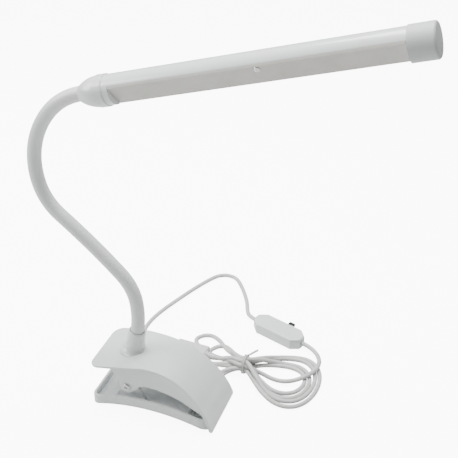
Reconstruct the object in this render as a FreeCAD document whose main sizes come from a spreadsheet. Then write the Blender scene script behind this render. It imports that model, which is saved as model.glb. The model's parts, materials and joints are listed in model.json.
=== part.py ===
"""Clip-on reading lamp with a bendable arm, a tube head and a plug-in cord.

Millimetres. X runs from the clip's handle to its tip, Y runs across the clip and Z is up. The
origin is on the flat foot under the jaw tip. The arm and the head lie in the plane Y = 0.
"""
import FreeCAD, Part
import Sketcher

import math
import os

V = FreeCAD.Vector
ACROSS = V(0, 1, 0)

SIZES = {
    # clip plate: three tangent arcs from the handle end over the crown to the nose
    "plate_wide": 48.0,
    "waist_wide": 40.4,
    "waist_start_x": -79.0,
    "waist_x": -33.0,
    "nose_x": 5.0,
    "plate_thick": 2.2,
    "plate_start_x": -92.3,
    "plate_start_z": 38.2,
    "plate_heading": 14.0,
    "handle_arc_radius": 250.0,
    "handle_arc_turn": 9.5,
    "crown_arc_radius": 49.0,
    "crown_arc_turn": 46.4,
    "nose_arc_radius": 66.0,
    "nose_arc_turn": 32.4,
    "plate_corner": 8.0,
    "nose_corner": 2.4,
    # the skirts under the plate carry the hinge pin
    "skirt_outside": 19.2,
    "skirt_thick": 2.2,
    "skirt_lobe": 5.6,
    # lower jaw: an arched tray
    "tray_wide": 46.0,
    "tray_back_x": -93.0,
    "tray_arch_span": 98.0,
    "tray_arch_rise": 8.3,
    "tray_rim": 7.5,
    "tray_wall": 2.0,
    "tray_nose_low_x": 1.9,
    "tray_nose_high_x": -1.25,
    "foot_wide": 32.0,
    "foot_long": 9.5,
    "ear_outside": 16.7,
    "ear_thick": 2.2,
    "ear_lobe": 5.2,
    # hinge
    "pivot_x": -64.0,
    "pivot_z": 22.5,
    "pin_radius": 2.0,
    "pin_play": 0.05,
    "pin_head_radius": 2.9,
    "spring_wire": 1.4,
    "spring_coil_radius": 3.7,
    "spring_turns": 6.0,
    "pad_thick": 1.5,
    "pad_wide": 33.0,
    # boss for the arm
    "boss_foot_z": 42.0,
    "boss_top_x": -61.9,
    "boss_top_z": 61.5,
    "boss_heading": 80.0,
    "boss_radius": 6.4,
    "boss_flare": 4.5,
    "boss_bore": 5.45,
    "stub_radius": 4.0,
    # arm
    "arm_radius": 5.0,
    "sleeve_bore": 3.7,
    "core_radius": 3.6,
    "ball_radius": 4.9,
    "seat_radius": 5.05,
    "seat_start": 1.9,
    # head
    "head_x": -76.6,
    "head_z": 246.7,
    "head_pitch": 16.2,
    "window_dip": 36.0,
    "bell_long": 13.5,
    "tube_radius": 9.8,
    "tube_wall": 1.4,
    "ring_radius": 10.4,
    "ring_long": 6.4,
    "tube_start": 0.4,
    "tube_end": 207.0,
    "window_start": 11,
    "window_end": 196.0,
    "window_depth": 5.5,
    "diffuser_thick": 1.5,
    "cap_start": 196.2,
    "cap_end": 212.4,
    "cap_radius": 10.4,
    "board_long": 177,
    "board_wide": 11.0,
    "board_thick": 1.0,
    "led_count": 24,
    "led_pitch": 7.4,
    # cord and the switch on it
    "cord_diameter": 3.5,
    "switch_x": 15.8,
    "switch_y": 102.0,
    "switch_yaw": -19.0,
    "switch_long": 47.0,
    "switch_wide": 17.0,
    "switch_tall": 10.0,
    "switch_end_wide": 6.4,
    "switch_taper": 6.5,
    "switch_wall": 1.4,
    "knob_at": 5.6,
    # plug
    "plug_x": -30.0,
    "plug_y": 54.6,
    "plug_z": 4.1,
    "plug_yaw": 176.7,
    "grip_long": 27.0,
    "grip_wide": 15.6,
    "grip_tall": 8.0,
    "shell_long": 12.2,
    "shell_wide": 12.0,
    "shell_tall": 4.5,
    # hank
    "tie_x": 3.5,
    "tie_y": 50.5,
    "bundle_radius": 6.3,
}

doc = FreeCAD.newDocument("ReadingLamp")
sheet = doc.addObject("Spreadsheet::Sheet", "Sizes")
for row, (alias, value) in enumerate(SIZES.items(), start=1):
    sheet.set("A%d" % row, alias)
    sheet.set("B%d" % row, str(value))
    sheet.setAlias("B%d" % row, alias)
doc.recompute()

PIECES = []


def size(alias):
    return float(getattr(sheet, alias))


def turned(direction, origin=V(0, 0, 0), across=None):
    """The placement that takes local Z to a direction, and local X to one across it."""
    across = across or V(0, 1, 0)
    return FreeCAD.Placement(origin, FreeCAD.Rotation(across, V(0, 0, 0), direction, "ZXY"))


# ---------------------------------------------------------------- document helpers


def new_body(label, placement=None):
    body = doc.addObject("PartDesign::Body", label)
    body.Label = label
    if placement:
        body.Placement = placement
    PIECES.append(body)
    return body


def new_sketch(body, name, lift="0", role="XY_Plane"):
    sketch = body.newObject("Sketcher::SketchObject", body.Name + "_" + name)
    plane = next(f for f in body.Origin.OriginFeatures if f.Role == role)
    sketch.AttachmentSupport = (plane, [""])
    sketch.MapMode = "FlatFace"
    sketch.setExpression("AttachmentOffset.Base.z", lift)
    return sketch


def draw_circle(sketch, radius):
    """A circle about the sketch's origin, its radius an expression."""
    index = sketch.addGeometry(Part.Circle(V(0, 0, 0), V(0, 0, 1), 1.0))
    sketch.addConstraint(Sketcher.Constraint("Coincident", index, 3, -1, 1))
    radial = sketch.addConstraint(Sketcher.Constraint("Radius", index, 1.0))
    sketch.setExpression("Constraints[%d]" % radial, radius)


def draw_box(sketch, wide, high):
    """A rectangle about the sketch's origin, its sides expressions."""
    corners = [V(-1, -1, 0), V(1, -1, 0), V(1, 1, 0), V(-1, 1, 0)]
    for k in range(4):
        sketch.addGeometry(Part.LineSegment(corners[k], corners[(k + 1) % 4]))
    for k in range(4):
        sketch.addConstraint(Sketcher.Constraint("Coincident", k, 2, (k + 1) % 4, 1))
    for k, way in enumerate(("Horizontal", "Vertical", "Horizontal", "Vertical")):
        sketch.addConstraint(Sketcher.Constraint(way, k))
    sketch.addConstraint(Sketcher.Constraint("Symmetric", 0, 1, 2, 1, -1, 1))
    span = sketch.addConstraint(Sketcher.Constraint("DistanceX", 0, 1, 0, 2, 2.0))
    rise = sketch.addConstraint(Sketcher.Constraint("DistanceY", 1, 1, 1, 2, 2.0))
    sketch.setExpression("Constraints[%d]" % span, wide)
    sketch.setExpression("Constraints[%d]" % rise, high)


def draw_outline(sketch, points):
    """A closed outline of straight lines."""
    corners = [V(x, y, 0) for x, y in points]
    first, last = sketch.GeometryCount, len(corners)
    for k in range(last):
        sketch.addGeometry(Part.LineSegment(corners[k], corners[(k + 1) % last]))
    for k in range(last):
        after = first + (k + 1) % last
        sketch.addConstraint(Sketcher.Constraint("Coincident", first + k, 2, after, 1))


def pad(body, sketch, length):
    feature = body.newObject("PartDesign::Pad", sketch.Name + "_pad")
    feature.Profile = sketch
    feature.setExpression("Length", length)
    doc.recompute()
    return feature


def pocket(body, sketch, length):
    """Cuts along the sketch's normal, and says so if nothing was cut."""
    before = body.Shape.Volume
    feature = body.newObject("PartDesign::Pocket", sketch.Name + "_pocket")
    feature.Profile = sketch
    feature.Reversed = True
    feature.setExpression("Length", length)
    doc.recompute()
    if body.Shape.Volume > before - 0.01:
        raise ValueError("the pocket %s cuts nothing" % sketch.Name)
    return feature


def revolve(body, sketch):
    feature = body.newObject("PartDesign::Revolution", sketch.Name + "_revolve")
    feature.Profile = sketch
    feature.ReferenceAxis = (sketch, ["V_Axis"])
    feature.Angle = 360
    doc.recompute()
    return feature


def dress(body, kind, choose, amount):
    """A PartDesign fillet or chamfer on the edges of the tip that choose accepts."""
    base = body.Tip
    names = ["Edge%d" % (k + 1) for k, edge in enumerate(base.Shape.Edges) if choose(edge)]
    feature = body.newObject("PartDesign::" + kind, body.Name + "_" + kind.lower())
    feature.Base = (base, names)
    feature.setExpression("Radius" if kind == "Fillet" else "Size", amount)
    doc.recompute()
    return feature


def turned_body(label, outline, placement=None):
    """A body turned about its own Z, from an outline of (radius, height) points."""
    body = new_body(label, placement)
    sketch = new_sketch(body, "half", role="XZ_Plane")
    draw_outline(sketch, outline)
    revolve(body, sketch)
    return body


def shaped(label, shape, placement=None):
    """A piece whose shape comes from Part's own functions."""
    feature = doc.addObject("Part::Feature", label)
    feature.Label = label
    feature.Shape = shape
    if placement:
        feature.Placement = placement
    PIECES.append(feature)
    return feature


def face_of(edges):
    return Part.Face(Part.Wire(Part.__sortEdges__([e.toShape() for e in edges])))


def slab(edges, low_y, high_y):
    """An outline in the XZ plane pushed from one Y to another."""
    face = face_of(edges)
    face.translate(V(0, low_y, 0))
    return face.extrude(V(0, high_y - low_y, 0))


def flat(points):
    """Straight sides through (x, z) points, as a closed outline."""
    corners = [V(x, 0, z) for x, z in points]
    return [Part.LineSegment(a, b) for a, b in zip(corners, corners[1:] + corners[:1])]


def outline(*sides):
    """Sides given by their (x, z) points: two make a line and three make an arc."""
    made = []
    for side in sides:
        ends = [V(x, 0, z) for x, z in side]
        made.append(Part.LineSegment(*ends) if len(ends) == 2 else Part.Arc(*ends))
    return made


def blend_edges(shape, radius, choose):
    return shape.makeFillet(radius, [edge for edge in shape.Edges if choose(edge)])


def runs_along(edge, axis):
    """True for a straight edge along an axis."""
    if not isinstance(edge.Curve, (Part.Line, Part.LineSegment)):
        return False
    way = edge.Vertexes[-1].Point - edge.Vertexes[0].Point
    return way.Length > 1e-6 and abs(way.normalize().dot(axis)) > 0.999


# ---------------------------------------------------------------- the clip plate's curve


def plate_arcs(depth):
    """The plate's three arcs at a depth below its upper face, as (start, middle, end) points."""
    heading = math.radians(size("plate_heading"))
    spot = V(size("plate_start_x"), 0, size("plate_start_z"))
    spot += V(math.sin(heading), 0, -math.cos(heading)) * depth
    arcs = []
    for name in ("handle", "crown", "nose"):
        radius = size(name + "_arc_radius") - depth
        turn = math.radians(size(name + "_arc_turn"))
        centre = spot + V(math.sin(heading), 0, -math.cos(heading)) * radius
        reach = [
            centre + V(-math.sin(heading - share * turn), 0, math.cos(heading - share * turn)) * radius
            for share in (0, 0.5, 1)
        ]
        arcs.append(reach)
        heading -= turn
        spot = reach[2]
    return arcs


def plate_plan():
    """The plate's outline from above: straight at the handle, waisted, and flared at the nose."""
    half, waist = size("plate_wide") / 2, size("waist_wide") / 2
    start, neck, nose = size("waist_start_x"), size("waist_x"), size("nose_x")
    turn = (start + neck) / 2
    first = ((neck - start) ** 2 + (half - waist) ** 2) / (4 * (half - waist))
    last = ((nose - neck) ** 2 + (half - waist) ** 2) / (2 * (half - waist))

    def bow(run, radius):
        return radius - math.sqrt(radius**2 - run**2)

    back, front = start - 30.0, nose + 8.0
    reach = waist + bow(front - neck, last)
    sides = []
    for way in (-1, 1):
        spots = [
            V(back, way * half, 0),
            V(start, way * half, 0),
            V((start + turn) / 2, way * (half - bow((turn - start) / 2, first)), 0),
            V(turn, way * (half - bow(turn - start, first)), 0),
            V((turn + neck) / 2, way * (waist + bow((neck - turn) / 2, first)), 0),
            V(neck, way * waist, 0),
            V((neck + front) / 2, way * (waist + bow((front - neck) / 2, last)), 0),
            V(front, way * reach, 0),
        ]
        sides.append(Part.LineSegment(spots[0], spots[1]))
        sides += [Part.Arc(*spots[k : k + 3]) for k in (1, 3, 5)]
    sides.append(Part.LineSegment(V(back, -half, 0), V(back, half, 0)))
    sides.append(Part.LineSegment(V(front, -reach, 0), V(front, reach, 0)))
    return sides


def under_plate(depth):
    """The outline of all that lies below the plate's curve at a depth."""
    arcs = plate_arcs(depth)
    start, end = arcs[0][0], arcs[-1][2]
    low = -20.0
    sides = [Part.Arc(*arc) for arc in arcs]
    sides.append(Part.LineSegment(end, V(end.x, 0, low)))
    sides.append(Part.LineSegment(V(end.x, 0, low), V(start.x, 0, low)))
    sides.append(Part.LineSegment(V(start.x, 0, low), start))
    return sides


def make_boss_line():
    """The foot, the top and the direction of the boss that holds the arm."""
    heading = math.radians(size("boss_heading"))
    way = V(math.cos(heading), 0, math.sin(heading))
    top = V(size("boss_top_x"), 0, size("boss_top_z"))
    foot = top - way * ((top.z - size("boss_foot_z")) / way.z)
    return foot, top, way


BOSS_FOOT, BOSS_TOP, BOSS_WAY = make_boss_line()
BOSS_TALL = (BOSS_TOP - BOSS_FOOT).Length


def make_upper_jaw():
    outer, inner = plate_arcs(0.0), plate_arcs(size("plate_thick"))
    sides = [Part.Arc(*arc) for arc in outer] + [Part.Arc(*arc) for arc in inner]
    sides.append(Part.LineSegment(outer[0][0], inner[0][0]))
    sides.append(Part.LineSegment(outer[-1][2], inner[-1][2]))
    half = size("plate_wide") / 2
    plate = slab(sides, -half - 4, half + 4).common(face_of(plate_plan()).extrude(V(0, 0, 80)))
    for corner, low_x, high_x in (("plate_corner", -120, -88), ("nose_corner", -2, 20)):
        plate = blend_edges(
            plate,
            size(corner),
            lambda e: e.Length < size("plate_thick") * 1.2 and low_x < e.CenterOfMass.x < high_x,
        )
    plate = blend_edges(plate, 0.7, lambda e: e.Length > 3 * size("plate_thick"))

    x, z, lobe = size("pivot_x"), size("pivot_z"), size("skirt_lobe")
    side = lobe * math.sqrt(0.5)
    skirt_line = outline(
        ((-79.5, 44.0), (-79.5, 38.6)),
        ((-79.5, 38.6), (-73.4, 31.6), (x - lobe, z)),
        ((x - lobe, z), (x - side, z - side), (x, z - lobe)),
        ((x, z - lobe), (x + lobe * 0.5, z - lobe * 0.866), (x + side, z - side)),
        ((x + side, z - side), (-55.6, 22.6)),
        ((-55.6, 22.6), (-53.2, 25.3), (-49.1, 26.5)),
        ((-49.1, 26.5), (-34.2, 25.3), (-19.8, 20.6)),
        ((-19.8, 20.6), (-7.2, 13.7)),
        ((-7.2, 13.7), (1.0, 9.4)),
        ((1.0, 9.4), (1.0, 44.0)),
        ((1.0, 44.0), (-79.5, 44.0)),
    )
    far = size("skirt_outside")
    near = far - size("skirt_thick")
    space = slab(under_plate(size("plate_thick") / 2), -half, half)
    skirts = slab(skirt_line, near, far).fuse(slab(skirt_line, -far, -near)).common(space)

    top = size("boss_radius")
    flare = top + size("boss_flare")
    tall = BOSS_TALL
    half_line = [
        Part.LineSegment(V(0, 0, 0), V(flare, 0, 0)),
        Part.LineSegment(V(flare, 0, 0), V(flare, 0, 1.6)),
        Part.Arc(V(flare, 0, 1.6), V(top + 1.5, 0, 3.8), V(top + 0.6, 0, 8.0)),
        Part.LineSegment(V(top + 0.6, 0, 8.0), V(top, 0, tall - 0.9)),
        Part.Arc(V(top, 0, tall - 0.9), V(top - 0.26, 0, tall - 0.26), V(top - 0.9, 0, tall)),
        Part.LineSegment(V(top - 0.9, 0, tall), V(0, 0, tall)),
        Part.LineSegment(V(0, 0, tall), V(0, 0, 0)),
    ]
    boss = face_of(half_line).revolve(V(0, 0, 0), V(0, 0, 1), 360)
    bore = Part.makeCylinder(size("boss_bore"), tall, V(0, 0, 5.0))
    hole = Part.makeCylinder(size("stub_radius") + 0.1, 40, V(0, 0, -20))
    place = turned(BOSS_WAY, BOSS_FOOT)
    for part in (boss, bore, hole):
        part.Placement = place
    inside = slab(under_plate(size("plate_thick")), -half, half)
    jaw = plate.fuse(boss.cut(inside)).fuse(skirts).cut(bore).cut(hole)
    pin = Part.makeCylinder(
        size("pin_radius") + size("pin_play"), 60, V(size("pivot_x"), -30, size("pivot_z")), ACROSS
    )
    return jaw.cut(pin).removeSplitter()


# ---------------------------------------------------------------- the lower jaw


def arch(lift, x):
    """The height of the tray's arch at x, lifted by some amount."""
    half, rise = size("tray_arch_span") / 2, size("tray_arch_rise")
    radius = (half * half + rise * rise) / (2 * rise)
    middle = size("tray_back_x") + half
    return rise - radius + math.sqrt(radius * radius - (x - middle) ** 2) + lift


def arch_side(lift, start, end):
    middle = (start + end) / 2
    return ((start, arch(lift, start)), (middle, arch(lift, middle)), (end, arch(lift, end)))


def make_lower_jaw():
    back, rim, wall = size("tray_back_x"), size("tray_rim"), size("tray_wall")
    low_x, high_x = size("tray_nose_low_x"), size("tray_nose_high_x")
    half = size("tray_wide") / 2
    body = slab(
        outline(
            arch_side(0, back, low_x),
            ((low_x, arch(0, low_x)), (high_x, arch(rim, high_x))),
            arch_side(rim, high_x, back),
            ((back, arch(rim, back)), (back, arch(0, back))),
        ),
        -half,
        half,
    )
    body = blend_edges(body, 7.0, lambda e: e.Length < 12 and abs(abs(e.CenterOfMass.y) - half) < 0.01)
    inner = half - wall
    hollow = slab(
        outline(
            arch_side(wall, back + wall, low_x - wall - 0.9),
            ((low_x - wall - 0.9, arch(wall, low_x - wall - 0.9)), (high_x - wall, 20)),
            ((high_x - wall, 20), (back + wall, 20)),
            ((back + wall, 20), (back + wall, arch(wall, back + wall))),
        ),
        -inner,
        inner,
    )
    hollow = blend_edges(
        hollow,
        5.2,
        lambda e: e.Length > 9 and abs(e.CenterOfMass.y) > inner - 0.01 and e.BoundBox.XLength < 3,
    )
    body = body.cut(hollow)
    feet = [
        Part.makeBox(size("foot_long"), size("foot_wide"), 3.0, V(start, -size("foot_wide") / 2, 0))
        for start in (1.3 - size("foot_long"), back + 0.3)
    ]
    x, z, lobe = size("pivot_x"), size("pivot_z"), size("ear_lobe")
    ear_line = outline(
        ((-80.0, 5.0), (-73.0, 12.0), (x - lobe, z)),
        ((x - lobe, z), (x, z + lobe), (x + lobe, z)),
        ((x + lobe, z), (-56.2, 21.5)),
        ((-56.2, 21.5), (-52.6, 16.0), (-49.5, 9.4)),
        ((-49.5, 9.4), (-80.0, 5.0)),
    )
    far = size("ear_outside")
    near = far - size("ear_thick")
    ears = [slab(ear_line, near, far), slab(ear_line, -far, -near)]
    body = body.multiFuse(feet + ears)
    pin = Part.makeCylinder(size("pin_radius"), 60, V(x, -30, z), ACROSS)
    body = body.cut(pin)
    gland = GLAND
    hole = Part.makeCylinder(GLAND_NECK, 6, V(gland.x, half - wall - 2, gland.z), ACROSS)
    return body.cut(hole).removeSplitter()


# the cord leaves through the far wall, near the handle end
GLAND = V(-82.0, 36.0, 7.6)
GLAND_NECK = 2.3


def make_pads():
    """Ribbed grip liners: one on the tray's floor at the nose, one under the plate's nose."""
    thick, half = size("pad_thick"), size("pad_wide") / 2
    wall = size("tray_wall")
    start, end = -17.0, -3.8
    low = slab(
        outline(
            arch_side(wall, start, end),
            ((end, arch(wall, end)), (end, arch(wall + thick, end))),
            arch_side(wall + thick, end, start),
            ((start, arch(wall + thick, start)), (start, arch(wall, start))),
        ),
        -half,
        half,
    )
    ribs = []
    for k in range(5):
        x = start + 1.6 + 2.5 * k
        ribs.append(Part.makeCylinder(0.55, 2 * half - 2, V(x, 1 - half, arch(wall + thick, x)), ACROSS))
    shaped("lower_grip_pad", low.multiFuse(ribs).removeSplitter())

    shell = slab(under_plate(size("plate_thick")), -16.5, 16.5).cut(
        slab(under_plate(size("plate_thick") + thick), -40, 40)
    )
    window = slab(flat([(-19.0, 10.4), (6.0, 10.4), (6.0, 33.0), (-19.0, 33.0)]), -40, 40)
    high = shell.common(window)
    nose = plate_arcs(size("plate_thick") + thick)[-1]
    centre_arc = Part.Arc(*nose)
    ribs = []
    for k in range(5):
        spot = centre_arc.value(
            centre_arc.FirstParameter
            + (0.34 + 0.09 * k) * (centre_arc.LastParameter - centre_arc.FirstParameter)
        )
        if spot.z > 11.5:
            ribs.append(Part.makeCylinder(0.5, 31, V(spot.x, -15.5, spot.z), ACROSS))
    shaped("upper_grip_pad", high.multiFuse(ribs).removeSplitter())


def make_hinge():
    radius, head = size("pin_radius"), size("pin_head_radius")
    end = size("skirt_outside")
    outer = end + 0.15
    turned_body(
        "hinge_pin",
        [
            (0, -outer - 0.9),
            (radius - 0.4, -outer - 0.9),
            (radius, -outer - 0.5),
            (radius, outer),
            (head, outer),
            (head, outer + 0.7),
            (head - 0.5, outer + 1.2),
            (1.25, outer + 1.3),
            (0.9, outer + 0.5),
            (0, outer + 0.5),
        ],
        turned(V(0, -1, 0), V(size("pivot_x"), 0, size("pivot_z")), V(1, 0, 0)),
    )
    ring = new_body("pin_ring", turned(ACROSS, V(size("pivot_x"), 0, size("pivot_z")), V(1, 0, 0)))
    disc = new_sketch(ring, "disc", "Sizes.skirt_outside + 0.15")
    draw_circle(disc, "Sizes.pin_radius + 2.0")
    draw_circle(disc, "Sizes.pin_radius")
    pad(ring, disc, "0.6")


def make_spring():
    """A torsion spring round the pin, with one leg under the plate and one on the tray's floor."""
    coil, wire = size("spring_coil_radius"), size("spring_wire") / 2
    pitch = size("spring_wire") + 0.12
    legs = {"plate": (62.0, 21.5), "floor": (303.0, 18.3)}
    turns = size("spring_turns") + (legs["plate"][0] - legs["floor"][0] + 360) / 360
    height = pitch * turns
    helix = Part.makeHelix(pitch, height, coil)
    ring = Part.Wire(Part.makeCircle(wire, V(coil, 0, 0), V(0, coil, pitch / (2 * math.pi))))
    solid = Part.Wire(helix).makePipeShell([ring], True, True)
    slope = V(0, coil, pitch / (2 * math.pi)).normalize()
    first = Part.makeCylinder(wire, legs["plate"][1], V(coil, 0, 0), slope * -1)
    last_angle = turns * 2 * math.pi
    end = V(coil * math.cos(last_angle), coil * math.sin(last_angle), height)
    way = V(-math.sin(last_angle) * slope.y, math.cos(last_angle) * slope.y, slope.z)
    second = Part.makeCylinder(wire, legs["floor"][1], end, way)
    # the helix turns from local X towards local Y; local Y must go the way that X turns to Z reversed
    start = math.radians(legs["plate"][0])
    out = V(math.cos(start), 0, math.sin(start))
    place = FreeCAD.Placement(
        V(size("pivot_x"), -height / 2, size("pivot_z")),
        FreeCAD.Rotation(out, V(0, 0, 0), ACROSS, "ZXY"),
    )
    shaped("torsion_spring", solid.multiFuse([first, second]), place)


def make_gland():
    """A moulded cord gland with a tapering tail, held in the tray's far wall."""
    wall = size("tray_wide") / 2
    cord = size("cord_diameter") / 2
    tail = GLAND.y - wall
    groove = size("tray_wall")
    turned_body(
        "cord_gland",
        [
            (cord, -groove - 1.0),
            (GLAND_NECK - 0.02, -groove - 1.0),
            (GLAND_NECK - 0.02, 0.05),
            (GLAND_NECK + 0.85, 0.05),
            (GLAND_NECK + 0.85, 1.4),
            (GLAND_NECK + 0.3, 2.0),
            (cord + 0.45, tail),
            (cord, tail),
        ],
        turned(ACROSS, V(GLAND.x, wall, GLAND.z), V(1, 0, 0)),
    )


# ---------------------------------------------------------------- the arm

# each bend of the arm: its length along the centre line and how far it turns, from boss to head
BENDS = (
    (25.0, 17.0),
    (25.0, 37.0),
    (31.0, 4.0),
    (28.0, 3.0),
    (27.0, -38.0),
    (32.5, -30.0),
    (29.0, -25.0),
    (29.0, -31.8),
)


def arm_bends():
    """Each bend's start, heading, radius (negative to the right) and length."""
    spot, heading, found = BOSS_TOP, math.radians(size("boss_heading")), []
    for length, turn in BENDS:
        radius = length / math.radians(turn)
        found.append((spot, heading, radius, length))
        spot, heading = along_bend(found[-1], length)
    return found, spot, heading


def along_bend(bend, distance):
    spot, heading, radius, _ = bend
    centre = spot + V(-math.sin(heading), 0, math.cos(heading)) * radius
    reached = heading + distance / radius
    return centre + V(math.sin(reached), 0, -math.cos(reached)) * radius, reached


def bend_rod(bend, start, end, outer, inner=0.0):
    """A round rod or tube along part of a bend."""
    spot, heading = along_bend(bend, start)
    radius = bend[2]
    centre = spot + V(-math.sin(heading), 0, math.cos(heading)) * radius
    way = V(math.cos(heading), 0, math.sin(heading))
    rings = [Part.Wire(Part.makeCircle(r, spot, way)) for r in (outer, inner) if r]
    disc = Part.Face(rings[0])
    if inner:
        disc = disc.cut(Part.Face(rings[1]))
    axis = V(0, -1, 0) if radius > 0 else V(0, 1, 0)
    turn = math.degrees((end - start) / abs(radius))
    made = disc.revolve(centre, axis, turn)
    return made.Solids[0] if made.Solids else made


def make_arm():
    bends, end, heading = arm_bends()
    outer, bore, core = size("arm_radius"), size("sleeve_bore"), size("core_radius")
    for k, bend in enumerate(bends):
        first, last = k == 0, k == len(bends) - 1
        spot, length = bend[0], bend[3]
        start = 0.0 if first else size("seat_start")
        sleeve = bend_rod(bend, start, length, outer, bore)
        seat = Part.makeSphere(size("seat_radius"), spot)
        inner_start = 0.0 if first else size("seat_radius") + 0.4
        rod = bend_rod(bend, inner_start, length, core)
        if not first:
            sleeve = sleeve.cut(seat)
        if not last:
            reached, way = along_bend(bend, length)
            ball = Part.makeSphere(size("ball_radius"), reached)
            forward = V(math.cos(way), 0, math.sin(way))
            keep = Part.makeCylinder(8, 8, reached, forward)
            rod = rod.fuse(ball.common(keep))
        shaped("arm_sleeve_%d" % (k + 1), sleeve)
        shaped("arm_core_%d" % (k + 1), rod.removeSplitter())
        print("arm joint %d at" % (k + 1), [round(c, 3) for c in along_bend(bend, length)[0]])
    print("arm ends at", [round(c, 3) for c in end], "heading", round(math.degrees(heading), 2))
    print("arm length", sum(length for length, _ in BENDS))


def make_socket():
    """The arm's lower fitting in the boss, and the nut under the plate that holds it."""
    place = turned(BOSS_WAY, BOSS_FOOT)
    stub, tall = size("stub_radius"), BOSS_TALL
    turned_body(
        "socket_ferrule",
        [
            (1.6, -9.5),
            (stub - 0.4, -9.5),
            (stub, -9.1),
            (stub, 5.1),
            (size("boss_bore") - 0.05, 5.1),
            (size("boss_bore") - 0.05, tall - 1.4),
            (size("arm_radius") + 0.02, tall - 1.4),
            (size("arm_radius") + 0.02, 12.0),
            (1.6, 12.0),
        ],
        place,
    )
    nut = new_body("socket_nut", place)
    six = new_sketch(nut, "six", "-8.4")
    across = 6.6
    draw_outline(
        six, [(across * math.cos(math.pi * k / 3), across * math.sin(math.pi * k / 3)) for k in range(6)]
    )
    pad(nut, six, "4.0")
    bore = new_sketch(nut, "bore", "-9")
    draw_circle(bore, "Sizes.stub_radius + 0.02")
    pocket(nut, bore, "6")


# ---------------------------------------------------------------- the head


def head_place():
    """Local Z runs along the head from the neck to the cap, local X out of the window."""
    pitch, dip = math.radians(size("head_pitch")), math.radians(size("window_dip"))
    axis = V(math.cos(pitch), 0, math.sin(pitch))
    below = V(math.sin(pitch), 0, -math.cos(pitch))
    normal = V(0, -math.cos(dip), 0) + below * math.sin(dip)
    return FreeCAD.Placement(
        V(size("head_x"), 0, size("head_z")), FreeCAD.Rotation(normal, V(0, 0, 0), axis, "ZXY")
    )


def tube_section(radius, low, high):
    """Part of a disc of a radius between two distances from its middle along X, as a face."""
    disc = Part.Face(Part.Wire(Part.makeCircle(radius)))
    band = Part.makePlane(high - low, 2 * radius + 2, V(low, -radius - 1, 0))
    return disc.common(band)


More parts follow.
